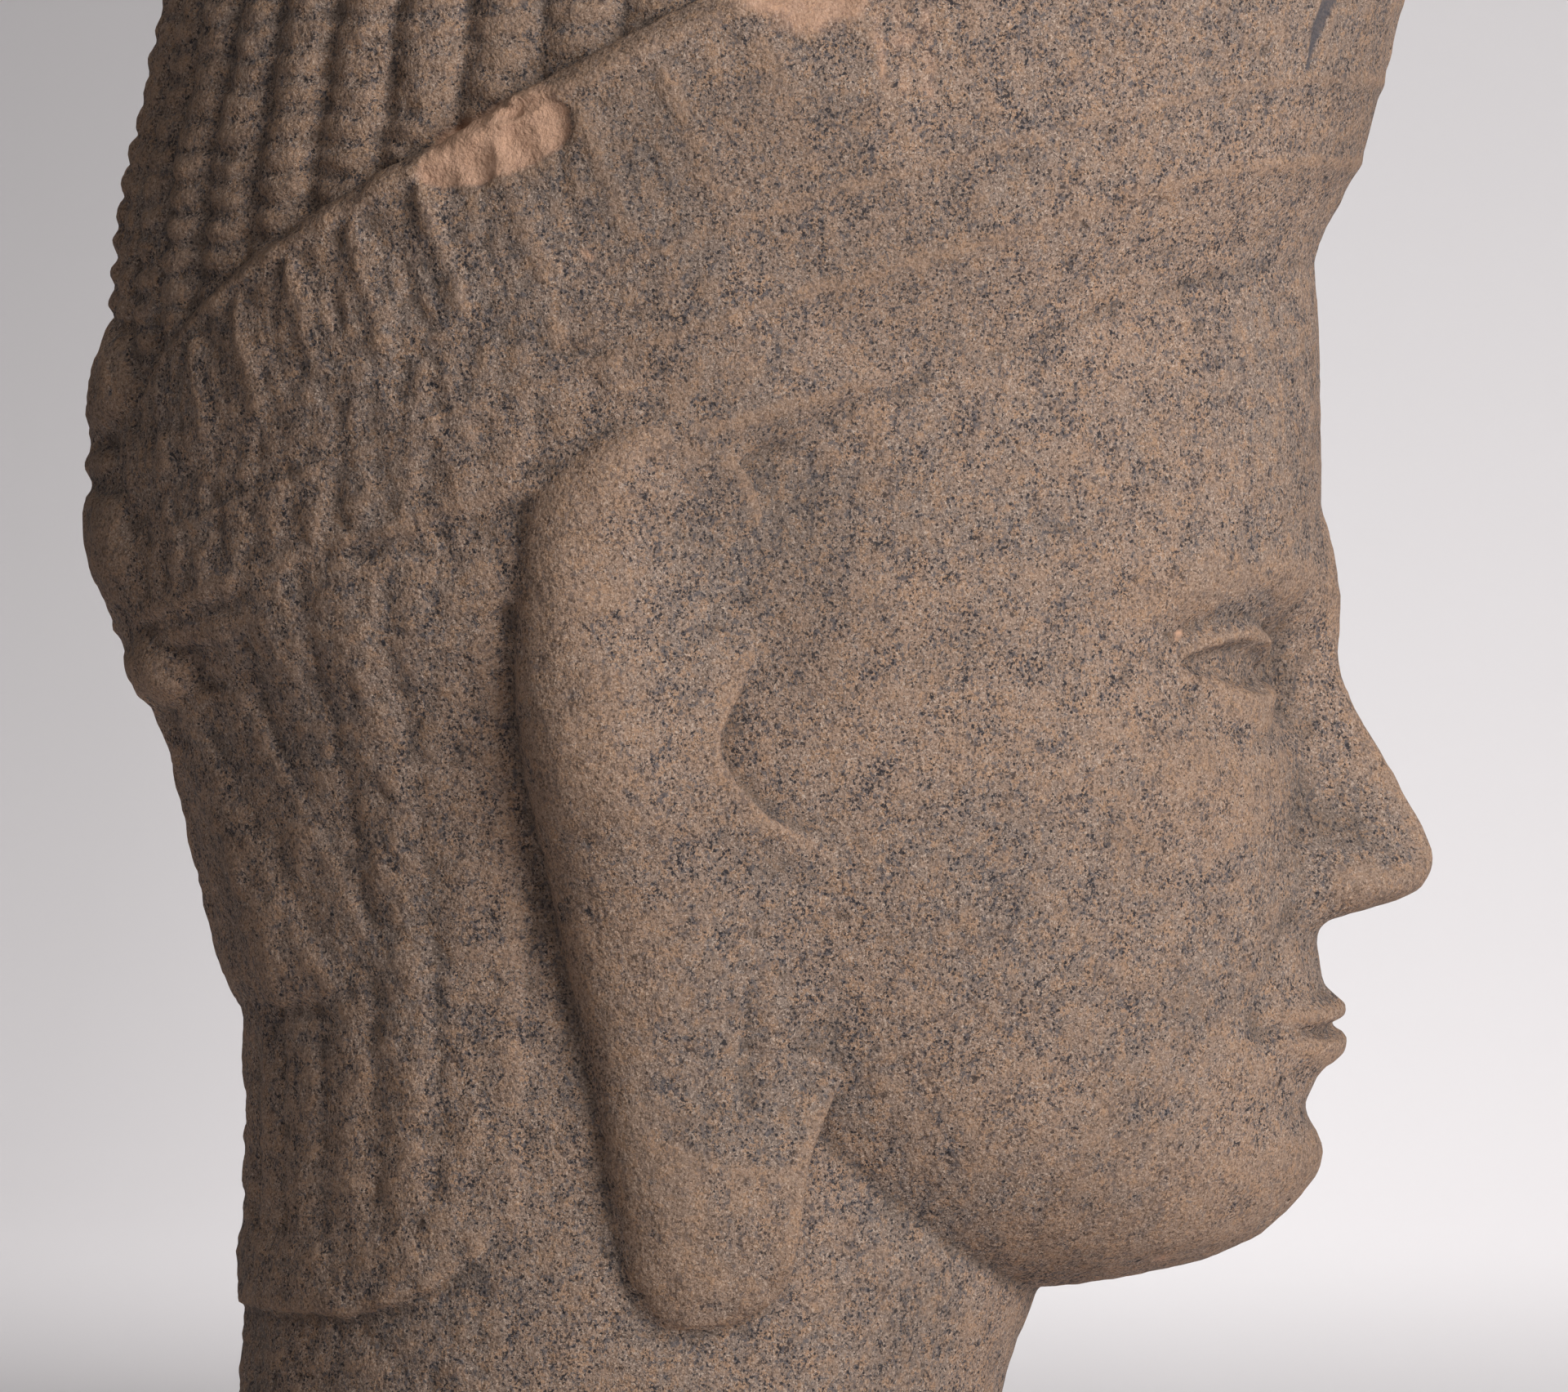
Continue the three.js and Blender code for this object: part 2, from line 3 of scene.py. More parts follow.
import bpy
import numpy as np
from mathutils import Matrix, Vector


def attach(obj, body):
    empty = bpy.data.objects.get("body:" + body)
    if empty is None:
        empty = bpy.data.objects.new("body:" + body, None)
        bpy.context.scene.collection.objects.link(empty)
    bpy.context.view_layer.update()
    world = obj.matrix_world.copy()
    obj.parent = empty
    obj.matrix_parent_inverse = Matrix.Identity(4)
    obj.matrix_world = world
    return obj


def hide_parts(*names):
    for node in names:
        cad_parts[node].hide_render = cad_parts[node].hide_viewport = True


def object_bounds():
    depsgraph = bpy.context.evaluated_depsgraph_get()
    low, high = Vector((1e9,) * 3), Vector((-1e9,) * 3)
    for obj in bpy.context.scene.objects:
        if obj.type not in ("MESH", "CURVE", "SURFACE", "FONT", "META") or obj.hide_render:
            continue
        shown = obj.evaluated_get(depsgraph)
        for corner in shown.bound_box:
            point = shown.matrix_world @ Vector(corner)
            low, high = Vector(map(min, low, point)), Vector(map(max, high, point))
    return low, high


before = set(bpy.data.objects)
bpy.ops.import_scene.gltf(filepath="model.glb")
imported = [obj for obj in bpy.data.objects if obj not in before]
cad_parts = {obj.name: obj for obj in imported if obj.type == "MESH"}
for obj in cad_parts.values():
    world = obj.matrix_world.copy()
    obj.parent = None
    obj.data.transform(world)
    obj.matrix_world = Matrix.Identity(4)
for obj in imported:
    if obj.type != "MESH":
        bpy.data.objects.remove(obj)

cad_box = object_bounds()

# All shapes are worked out in millimetres: Z up, face towards -Y, the head's right side at -X.
MM = 0.001
VOXEL = 0.85
TRIANGLES = 196000

# Heights above the cut
CROWN = 336
HAIRLINE = 226
CHIN = 50
EAR_TOP, EAR_BOTTOM = 197, 37
HEM, NAPE_TOP = 39, 174
KNOT_TOP, KNOT_BOTTOM = 224, 145
TAIL_TOP, TAIL_BOTTOM = 147, 97

# Half widths and reaches
HEAD_HALF, FOREHEAD, SKULL = 74, 127, 78
NECK_HALF, NECK = 61, 70
HAIR_HALF, HAIR, HAIR_MIDDLE = 78, 92, -20
KNOT_MIDDLE = 74

# Diadem: its height in front, slope, reach behind, flare and relief, its widest place along Y,
# the depth of its inside, its leaves and their lean
BAND_FRONT, BAND_SLOPE, BAND_BACK, BAND_FLARE, BAND_RELIEF = 300, 0.304, 89, 19, 4.6
BAND_MIDDLE, BAND_INSIDE = -20, -26
LEAVES, LEAF_LEAN = 46, 6

# Plaits: their number, their pitch in degrees, their depth and the pitch of the knobs on them
PLAITS, PLAIT_DEPTH, PLAIT_KNOB = 45, 3.2, 5.6
NAPE_PLAITS, NAPE_PITCH, NAPE_DEPTH, NAPE_KNOB = 13, 11.4, 2.6, 4.6
NAPE_ENDS, NAPE_FILLET = 50, 9
NAPE_SPAN = NAPE_PITCH * NAPE_PLAITS / 2
NAPE_END = NAPE_SPAN + NAPE_FILLET

# Face, by thirds and eye widths
THIRD = (HAIRLINE - CHIN) / 3
NOSE_BASE = CHIN + THIRD
BROW = CHIN + 2 * THIRD
EYE = BROW - 0.22 * THIRD
MOUTH = NOSE_BASE - THIRD / 3
EYE_WIDTH = HEAD_HALF * 2 / 5
EYE_OFFSET = EYE_WIDTH * 1.04
MOUTH_HALF = EYE_WIDTH * 0.86
NOSE_REACH = THIRD * 0.4


def ease(start, end, value):
    """Goes smoothly from 0 at the start to 1 at the end."""
    share = np.clip((value - start) / (end - start), 0, 1)
    return share * share * (3 - 2 * share)


def hill(distance, width):
    """A bell that is 1 where the distance is nothing."""
    return np.exp(-((distance / width) ** 2))


def mix(start, end, share):
    return start + (end - start) * share


def through(points):
    """A smooth line through a few points (position, value), level beyond both ends."""
    at, value = np.array(points, float).T
    before = np.maximum(np.arange(len(at)) - 1, 0)
    after = np.minimum(np.arange(len(at)) + 1, len(at) - 1)
    slope = (value[after] - value[before]) / (at[after] - at[before])

    def line(position):
        position = np.clip(position, at[0], at[-1])
        i = np.clip(np.searchsorted(at, position, side="right") - 1, 0, len(at) - 2)
        width = at[i + 1] - at[i]
        part = (position - at[i]) / width
        return (
            (1 + 2 * part) * (1 - part) ** 2 * value[i]
            + part * part * (3 - 2 * part) * value[i + 1]
            + part * (1 - part) ** 2 * slope[i] * width
            + part * part * (part - 1) * slope[i + 1] * width
        )

    return line


def noise(points, size, seed):
    """Smooth seeded noise from -1 to 1 with lumps of about that size."""
    rng = np.random.default_rng(seed)
    side = 48
    lattice = rng.uniform(-1, 1, (side, side, side)).astype(np.float32)
    place = np.asarray(points, np.float32) / size + 1000.0
    cell = np.floor(place).astype(int)
    part = place - cell
    part = part * part * (3 - 2 * part)
    total = np.zeros(len(place), np.float32)
    for corner in range(8):
        step = np.array([corner & 1, corner >> 1 & 1, corner >> 2 & 1])
        weight = np.prod(np.where(step, part, 1 - part), axis=1)
        x, y, z = ((cell + step) % side).T
        total += weight * lattice[x, y, z]
    return total


def layered(points, size, seed, layers=3):
    """Noise with finer and finer layers."""
    total = 0
    for layer in range(layers):
        total = total + noise(points, size / 2**layer, seed + layer) / 2**layer
    return total / 1.6


# Closed bodies as (points, triangles)
def grid_triangles(rows, columns, wrap_rows=False):
    """Triangles of a grid that closes round its columns, and round its rows if asked."""
    i, j = np.meshgrid(np.arange(rows if wrap_rows else rows - 1), np.arange(columns), indexing="ij")
    a = i * columns + j
    b = i * columns + (j + 1) % columns
    c = (i + 1) % rows * columns + (j + 1) % columns
    d = (i + 1) % rows * columns + j
    return np.concatenate([np.stack([a, d, b], -1).reshape(-1, 3), np.stack([b, d, c], -1).reshape(-1, 3)])


def ring_body(angles, levels, surface, end_point):
    """A closed body of level rings, from a top point down to a bottom point."""
    angles, levels = np.asarray(angles, float), np.asarray(levels, float)
    height, angle = np.meshgrid(levels[1:-1], angles, indexing="ij")
    points = surface(angle.ravel(), height.ravel())
    columns, rows = len(angles), len(levels) - 2
    triangles = grid_triangles(rows, columns)
    top, bottom = len(points), len(points) + 1
    ring = np.arange(columns)
    after = (ring + 1) % columns
    last = (rows - 1) * columns
    fans = [np.stack([np.full(columns, top), ring, after], -1),
            np.stack([np.full(columns, bottom), last + after, last + ring], -1)]
    points = np.concatenate([points, [end_point(levels[0]), end_point(levels[-1])]])
    return points, np.concatenate([triangles, *fans])


def hoop_body(angles, section, surface):
    """A closed hoop round the head: each section point (share, out) is carried round all the angles."""
    section = np.asarray(section, float)[::-1]
    share, angle = np.meshgrid(section[:, 0], angles, indexing="ij")
    out, _ = np.meshgrid(section[:, 1], angles, indexing="ij")
    points = surface(angle.ravel(), share.ravel(), out.ravel())
    return points, grid_triangles(len(section), len(angles), wrap_rows=True)


def on_oval(angle, height, front, back, middle, half, out=0.0):
    """Points on level ovals with their widest place at y = middle."""
    along = np.cos(np.radians(angle))
    reach = np.where(along > 0, front + middle, back - middle)
    x = -(half + out) * np.sin(np.radians(angle))
    y = middle - (reach + out) * along
    return np.stack([x, y, height + 0 * x], -1)


def round_angles(step):
    return 180 - np.arange(round(360 / step)) * step


# Head and face
front_line = through([
    (-0.045, 0.66), (-0.028, 0.8), (0, 0.9), (0.04, 0.95), (0.1, 0.975),
    (0.5, 0.985), (0.6, 0.975), (0.7, 1.005), (0.8, 1.012), (1, 1.004), (1.12, 0.98),
])
back_line = through([
    (-0.045, -0.4), (0, -0.13), (0.08, 0.15), (0.22, 0.5), (0.4, 0.78), (0.6, 0.94), (0.8, 1.02), (1.12, 1),
])
side_line = through([
    (-0.045, 0.28), (0, 0.5), (0.06, 0.64), (0.14, 0.75), (0.25, 0.84), (0.38, 0.92),
    (0.55, 0.985), (0.7, 1), (0.9, 1), (1.12, 0.94),
])
nose_ridge = through([
    (-0.06, 0), (0, 0.12), (0.03, 0.4), (0.07, 0.76), (0.13, 0.95), (0.2, 1), (0.28, 0.95), (0.42, 0.76),
    (0.6, 0.53), (0.8, 0.37), (0.95, 0.29), (1.08, 0.19), (1.3, 0),
])
nose_width = through([(0, 0.4), (0.18, 0.36), (0.45, 0.27), (0.75, 0.25), (1, 0.36)])


def head_oval(height):
    share = (height - CHIN) / (HAIRLINE - CHIN)
    front = FOREHEAD * front_line(share)
    back = SKULL * back_line(share)
    return front, back, mix(-front, back, 0.52), HEAD_HALF * side_line(share)


def features(x, height):
    """How far the features stand forward of the plain oval."""
    side = np.abs(x)
    from_eye = side - EYE_OFFSET
    rise = height - EYE - 0.06 * from_eye
    nose_share = (height - NOSE_BASE) / THIRD

    brow_line = BROW + 3 - 0.006 * from_eye**2
    brow = 2.2 * hill(height - brow_line, 6) * ease(62, 44, side) * ease(4, 14, side)
    socket = -6.5 * hill(from_eye + 1, 19) * hill(rise - 2, 12)
    inner_corner = -4 * hill(side - 13, 6) * hill(rise - 3, 10)

    ball = np.maximum(0, np.sqrt(np.maximum(0, 240 - 0.62 * from_eye**2 - rise**2)) - 9.5)
    arch = np.maximum(0, 1 - (from_eye / (EYE_WIDTH / 2)) ** 2)
    upper, lower = 4.8 * arch**0.8, -3.6 * arch
    opening = -2.7 * ease(-0.6, 0.6, upper - rise) * ease(-0.6, 0.6, rise - lower) * ease(0, 0.12, arch)
    lid_ends = ease(EYE_WIDTH * 0.6, EYE_WIDTH * 0.48, np.abs(from_eye))
    lids = lid_ends * (1.5 * hill(rise - upper - 1.3, 1.3) + 1.0 * hill(rise - lower + 1.2, 1.3))
    crease = -2.1 * lid_ends * hill(rise - upper - 4.8, 1.4)

    width = nose_width(nose_share) * THIRD / 2
    nose = NOSE_REACH * nose_ridge(nose_share) * np.exp(-((side / width) ** 2.6))
    wing_rise = height - NOSE_BASE - THIRD * 0.12
    wings = NOSE_REACH * 0.42 * hill(side - THIRD * 0.2, 5.2) * hill(wing_rise, 6)
    wings = wings - 1.2 * hill(side - THIRD * 0.29, 1.6) * hill(wing_rise - 3, 6)

    reach = side / MOUTH_HALF
    parting = MOUTH + 0.9 * hill(side, 5) - 0.4 * hill(side - 12, 7)
    above = height - parting
    muzzle = 5 * hill(side, 25) * hill(above - 1, 19)
    bow = 3.4 - 1.2 * hill(side, 3) + 0.6 * hill(side - 5, 3)
    full = np.maximum(0, 1 - reach * reach) ** 0.5
    upper_lip = 3.8 * full * ease(0, 1.6, above) * hill(np.maximum(0, above - bow * full), 2.2)
    lower_lip = 4 * full * ease(0, -1.8, above) * hill(np.maximum(0, -above - 4.8 * full), 2.4)
    line = -1.6 * ease(1.06, 0.85, reach) * hill(above, 1.5)
    corner = -2 * hill(side - MOUTH_HALF - 1, 3.6) * hill(above, 4)
    philtrum = -1.3 * hill(side, 2.6) * hill(above - 11, 5)
    fold_line = mix(MOUTH_HALF + 5, THIRD * 0.33, np.clip(above / (THIRD * 0.42), 0, 1))
    fold_ends = ease(-4, 3, above) * ease(THIRD * 0.46, THIRD * 0.3, above)
    cheek_fold = -1.2 * hill(side - fold_line, 3.4) * fold_ends

    chin_fold = -3 * hill(side, 19) * hill(above + THIRD * 0.26, 5)
    chin = 4.5 * hill(side, 17) * hill(height - CHIN - THIRD * 0.24, 11)
    cheek = 2.8 * hill(side - 44, 15) * hill(height - NOSE_BASE - THIRD * 0.36, 16)
    eye = brow + socket + inner_corner + ball + opening + lids + crease
    mouth = muzzle + upper_lip + lower_lip + line + corner + philtrum
    return eye + nose + wings + mouth + cheek_fold + chin_fold + chin + cheek


def hairline(y):
    """The height of the diadem's lower edge at a place along Y."""
    return HAIRLINE - BAND_SLOPE * (y + FOREHEAD) + 4 * hill(y + 100, 25)


def head_point(angle, height):
    points = on_oval(angle, height, *head_oval(height))
    facing = ease(0.05, 0.4, np.cos(np.radians(angle)))
    points[:, 1] -= features(points[:, 0], height) * facing
    below_band = hairline(points[:, 1]) - height
    strokes = 0.7 * np.abs(np.sin(np.radians(angle) * 34 + below_band * 0.08))
    strokes = strokes * ease(12, 7, below_band) * ease(-2, 1, below_band)
    strokes = strokes * ease(0.75, 0.55, facing) * ease(0.02, 0.1, facing)
    points[:, 0] += np.sign(points[:, 0]) * strokes
    return points


under_chin = CHIN - np.array([0, 2, 4, 6, 8, 9])
head = ring_body(
    round_angles(1.0),
    np.concatenate([[HAIRLINE + THIRD * 0.45], np.arange(HAIRLINE + 24, CHIN, -1.0), under_chin]),
    head_point,
    lambda height: (0, head_oval(height)[2], height),
)

# Neck
neck_front = through([(0, 0.985), (22, 1), (CHIN, 1.12), (2 * CHIN, 1.1)])
neck_back = through([(0, 1.01), (22, 0.998), (CHIN, 0.965), (3 * CHIN, 0.96)])
neck_side = through([(0, 1.02), (CHIN, 0.985), (3 * CHIN, 1)])


def neck_oval(height):
    return NECK * neck_front(height), NECK * neck_back(height), 0, NECK_HALF * neck_side(height)


neck = ring_body(
    round_angles(2.5),
    np.concatenate([[3 * CHIN], np.linspace(2.9 * CHIN, 0, 60), [0]]),
    lambda angle, height: on_oval(angle, height, *neck_oval(height)),
    lambda height: (0, 0, height),
)

# Hair cap
cap_front = through([(0.5, 0.8), (0.8, 1.2), (0.89, 1.13), (0.94, 0.96), (0.975, 0.7), (1, 0.3)])
cap_back = through([
    (0.5, 0.9), (0.57, 0.975), (0.645, 1.02), (0.72, 1), (0.76, 0.967), (0.826, 0.913),
    (0.88, 0.82), (0.93, 0.67), (0.965, 0.5), (1, 0.24),
])
cap_side = through([
    (0.5, 0.94), (0.65, 1), (0.78, 0.99), (0.84, 0.96), (0.9, 0.87), (0.945, 0.73), (1, 0.3),
])


def cap_oval(height):
    share = height / CROWN
    return HAIR * cap_front(share), HAIR * cap_back(share), HAIR_MIDDLE, HAIR_HALF * cap_side(share)


def plait_relief(place, height, count, knob, seed):
    """Shapes of a row of knotted plaits, 1 on the crests and 0 in the grooves: place counts plaits."""
    number = np.floor(place)
    across = place - number
    crest = np.sin(np.pi * across) ** 0.6
    rng = np.random.default_rng(seed)
    shift = rng.uniform(0, 1, count + 2)[number.astype(int) % (count + 2)]
    sag = 1.8 * (1 - (2 * across - 1) ** 2)
    lump = np.abs(np.cos(np.pi * ((height + sag) / knob + shift))) ** 0.6
    return crest, lump


def cap_point(angle, height):
    pitch = 360 / PLAITS
    place = (180 - angle) / pitch
    crest, lump = plait_relief(place, height, PLAITS, PLAIT_KNOB, 11)
    fade = ease(CROWN, CROWN * 0.93, height)
    plain = on_oval(angle, height, *cap_oval(height))
    worn = 0.85 + 0.6 * layered(plain, 18, 31)
    rear = ease(70, 150, np.abs(angle))
    knobs = mix(2, 2.5, rear) * worn * (0.4 + 0.6 * crest) * (1 - lump)
    out = -PLAIT_DEPTH * (1 - crest) - knobs
    return on_oval(angle, height, *cap_oval(height), out * fade)


cap = ring_body(
    round_angles(360 / PLAITS / 15),
    np.concatenate([[CROWN], np.linspace(CROWN - 1, 0.5 * CROWN, 165), [0.5 * CROWN]]),
    cap_point,
    lambda height: (0, -10, height),
)

# Diadem
band_top = through([
    (-FOREHEAD, 1), (-100, 0.988), (-60, 0.96), (-21, 0.912), (10, 0.862), (42, 0.803), (72, 0.735),
    (BAND_BACK, 0.648),
])
strip_drop = through([(-30, 1.5), (0, 8), (20, 17), (40, 14), (70, 6.5), (BAND_BACK, 2.5)])


def band_height(angle, share):
    along = np.cos(np.radians(angle))
    y = BAND_MIDDLE - np.where(along > 0, FOREHEAD + BAND_MIDDLE, BAND_BACK - BAND_MIDDLE) * along
    lower = hairline(y)
    return np.where(share < 0, lower + share * strip_drop(y), mix(lower, BAND_FRONT * band_top(y), share))


def band_point(angle, share, out):
    along = np.cos(np.radians(angle))
    front = ease(-0.1, 0.35, along)
    rise = np.maximum(share, 0)
    depth = np.where(out < 0, out * (1 + np.clip(along, 0, 1) ** 2 * rise), out)
    low = 4.2 * front * ease(0.35, 0, share)
    half = HEAD_HALF + mix(3.5, 0.8, front) + mix(4, 6.5, front) * rise
    oval = FOREHEAD + BAND_FLARE * rise, BAND_BACK, BAND_MIDDLE, half
    return on_oval(angle, band_height(angle, share), *oval, np.where(out > 0, depth - low, depth))


def band_carving(angle, share):
    """The registers over the band's plain face: its fillets, and its leaves, beads and drops."""
    fillets = hill(share - 0.275, 0.024) + hill(share - 0.48, 0.024) + 0.6 * hill(share - 0.05, 0.024)
    lean = LEAF_LEAN * np.sin(np.radians(angle)) * (share - 0.5) / 0.4
    leaf = (180 - angle + lean) * LEAVES / 360
    across = np.abs(leaf - np.floor(leaf) - 0.5) * 2
    up = np.clip((share - 0.5) / 0.4, 0, 1)
    edge = 0.9 * (1 - up**2.5) + 0.06
    inside = ease(edge + 0.1, edge - 0.12, across) * ease(0.49, 0.53, share) * ease(0.92, 0.88, share)
    leaves = inside * (2 + 1.1 * hill(across, 0.2) - 0.8 * hill(across - edge * 0.55, 0.12))
    between_leaves = 1.3 * hill(1 - across, 0.3) * ease(0.64, 0.74, share) * ease(0.92, 0.86, share)
    bead = np.abs(np.cos(np.pi * (180 - angle) * 2.3 * LEAVES / 360)) ** 0.7
    beads = 1.5 * bead * np.sqrt(np.maximum(0, 1 - ((share - 0.378) / 0.075) ** 2))
    drop = (180 - angle) * 1.5 * LEAVES / 360
    side = np.abs(drop - np.floor(drop) - 0.5) * 2
    low = np.clip((share - 0.07) / 0.18, 0, 1)
    drops = 1.2 * ease(1, 0.55, side + 0.7 * (1 - low) ** 2)
    drops = drops * ease(0.06, 0.09, share) * ease(0.26, 0.235, share)
    return 1.7 * fillets, leaves + between_leaves + beads + drops


# The band's section by share of its height: the strip below, the carved face, the bevel and the inside
band_face = [(-0.93, 0.3), (-0.5, 0.45), (-0.1, 0.45), (0, 0.5), (0.012, 0.6)]
band_face += [(share, 0.72) for share in np.linspace(0.03, 0.9, 84)]
band_face += [(0.925, 0.92), (0.945, 0.92), (0.96, 0.8), (1, 0.15)]
band_section = np.concatenate([
    [(-1, 0.1)],
    [(share, relief * BAND_RELIEF) for share, relief in band_face],
    [(share, BAND_INSIDE) for share in (1, 0.5, 0, -1)],
])


def carved_band_point(angle, share, out):
    plain = band_point(angle, share, out)
    kept = ease(-0.25, 0.75, -np.cos(np.radians(angle)) + 0.4 * layered(plain, 24, 51))
    kept = 0.22 + 0.7 * kept * (0.75 + 0.45 * layered(plain, 8, 57))
    fillets, figures = band_carving(angle, share)
    carving = fillets * np.maximum(kept, 0.55) + figures * kept
    return band_point(angle, share, np.where(out > 0, out + carving * ease(0, 0.03, share), out))


band = hoop_body(round_angles(0.6), band_section, carved_band_point)

# Ears, by share of their height: edges along Y, how far the face stands out at the rear,
# its fall to the rear edge, the free front of the lobe and the step above the cheek
ear_rear = through([
    (0, -8), (0.03, -3), (0.1, 0), (0.28, 4.5), (0.47, 10.5), (0.66, 16.5), (0.85, 17),
    (0.93, 14.5), (0.965, 10.5), (0.985, 5), (1, -5),
])
ear_front = through([
    (0, -19), (0.04, -29), (0.1, -32.5), (0.19, -34.5), (0.28, -40), (0.4, -45), (0.5, -43), (0.54, -36),
    (0.57, -28), (0.61, -21.5), (0.655, -19), (0.7, -21.8), (0.75, -24.8), (0.8, -26.3), (0.88, -27),
    (0.94, -24), (0.97, -20), (0.988, -15.5), (1, -9),
])
ear_reach = through([(0, -10), (0.06, -5), (0.3, 2), (0.5, 8), (0.66, 12), (0.8, 14), (0.93, 14), (1, 13)])
ear_drop = through([(0, 10), (0.1, 14), (0.4, 19), (0.6, 19), (1, 15)])
lobe_front = through([(0, -14), (0.1, -10), (0.19, -10.5), (0.28, -13), (0.4, -18)])
ear_step = through([
    (0.2, 0), (0.32, -0.6), (0.5, -0.6), (0.54, 1.5), (0.57, 4), (0.62, 5.5), (0.66, 5), (0.71, 3),
    (0.76, 0.8), (0.82, 0), (0.88, 0.4), (0.92, 2.5), (0.96, 4.8), (1, 7),
])


def head_side(y, height):
    """The head's half width at a place along Y."""
    front, back, middle, half = head_oval(height)
    reach = np.where(y < middle, front + middle, back - middle)
    return half * np.sqrt(np.maximum(0.05, 1 - ((y - middle) / reach) ** 2))


def ear(side):
    """The ear on the head's right side for 1, or on its left side for -1."""

    def surface(angle, height):
        share = (height - EAR_BOTTOM) / (EAR_TOP - EAR_BOTTOM)
        across = -np.cos(np.radians(angle))
        across = np.sign(across) * np.abs(across) ** 0.8
        rear, front = ear_rear(share), ear_front(share)
        y = (rear + front) / 2 + across * (rear - front) / 2
        toward_rear = (across + 1) / 2
        hanging = HEAD_HALF + lobe_front(share)
        front_x = mix(hanging, head_side(front, height) + ear_step(share), ease(0.17, 0.36, share))
        dome = 5 * (1 - np.sqrt(1 - np.clip((share - 0.9) / 0.105, 0, 1) ** 2)) * toward_rear
        face = mix(front_x, HEAD_HALF + ear_reach(share), toward_rear**1.15) - dome
        rounding = np.clip((across + 0.05) / 1.05, 0, 1)
        slit = 1.3 * hill(y + 23.7, 1.3) * ease(72, 80, height) * ease(104, 94, height)
        outer = face - ear_drop(share) * (1 - np.sqrt(1 - rounding**2)) - slit
        inner = face - 2 - ear_drop(share) * (1 - (1 - toward_rear) ** 3)
        x = np.where(np.sin(np.radians(angle)) > 0, outer, inner)
        return np.stack([-side * x, y, height], -1)

    def end_point(height):
        share = min(max((height - EAR_BOTTOM) / (EAR_TOP - EAR_BOTTOM), 0), 1)
        x = -side * (HEAD_HALF + ear_reach(share) - 10)
        return x, (ear_rear(share) + ear_front(share)) / 2, height

    levels = mix(EAR_BOTTOM, EAR_TOP, np.concatenate([[1.004], np.linspace(1, 0.008, 140), [-0.004]]))
    return ring_body(side * (round_angles(4) - 2), levels, surface, end_point)


# Nape hair
nape_back = through([
    (HEM, 0.985), (48, 0.985), (54, 0.97), (TAIL_BOTTOM, 0.98), (120, 1.03), (TAIL_TOP, 1.14),
    (160, 1.23), (NAPE_TOP, 1.26),
])
nape_side = through([
    (HEM, 1.01), (TAIL_BOTTOM, 1.02), (120, 1.06), (TAIL_TOP, 1.15), (160, 1.22), (NAPE_TOP, 1.25),
])


def nape_oval(height):
    return 30, NECK * nape_back(height), 0, NECK_HALF * nape_side(height)


def nape_point(angle, height):
    from_back = np.abs(180 - angle)
    rise = 15 * np.clip((from_back - 45) / 27, 0, 1) ** 2 * ease(110, 50, height)
    place = (180 + NAPE_SPAN - angle) / NAPE_PITCH
    crest, lump = plait_relief(place, height, NAPE_PLAITS, NAPE_KNOB, 17)
    crest = crest**0.4
    knots = mix(0.1, 1, ease(60, 34, from_back))
    plain = on_oval(angle, height, *nape_oval(height))
    ends = NAPE_ENDS + 3.5 * (1 - crest)
    plaits = -NAPE_DEPTH * (1 - crest) - knots * (1 - lump) * (0.8 + 0.6 * layered(plain, 20, 37))
    edge = ease(NAPE_SPAN, NAPE_SPAN - 18, from_back)
    valley = 6 * ease(NAPE_SPAN, NAPE_END, from_back)
    panel = mix(-0.6, 1.4, edge) + plaits * ease(ends, ends + 3, height) * edge - valley
    out = np.where(from_back < NAPE_END - 0.01, panel, -12)
    return on_oval(angle, height + rise, *nape_oval(height), out)


nape = ring_body(
    np.concatenate([
        np.linspace(180 + NAPE_END, 180 - NAPE_END, 230),
        [180 - NAPE_END - 1.5, 60, 0, -60, NAPE_END + 1.5 - 180],
    ]),
    np.concatenate([[NAPE_TOP], np.linspace(NAPE_TOP - 1, HEM, 150), [HEM - 0.5]]),
    nape_point,
    lambda height: (0, 20, height),
)

# Tail and knot of the tie
tail_out = through([(0, 1.4), (0.1, 3.4), (0.4, 4.8), (1, 4.5)])


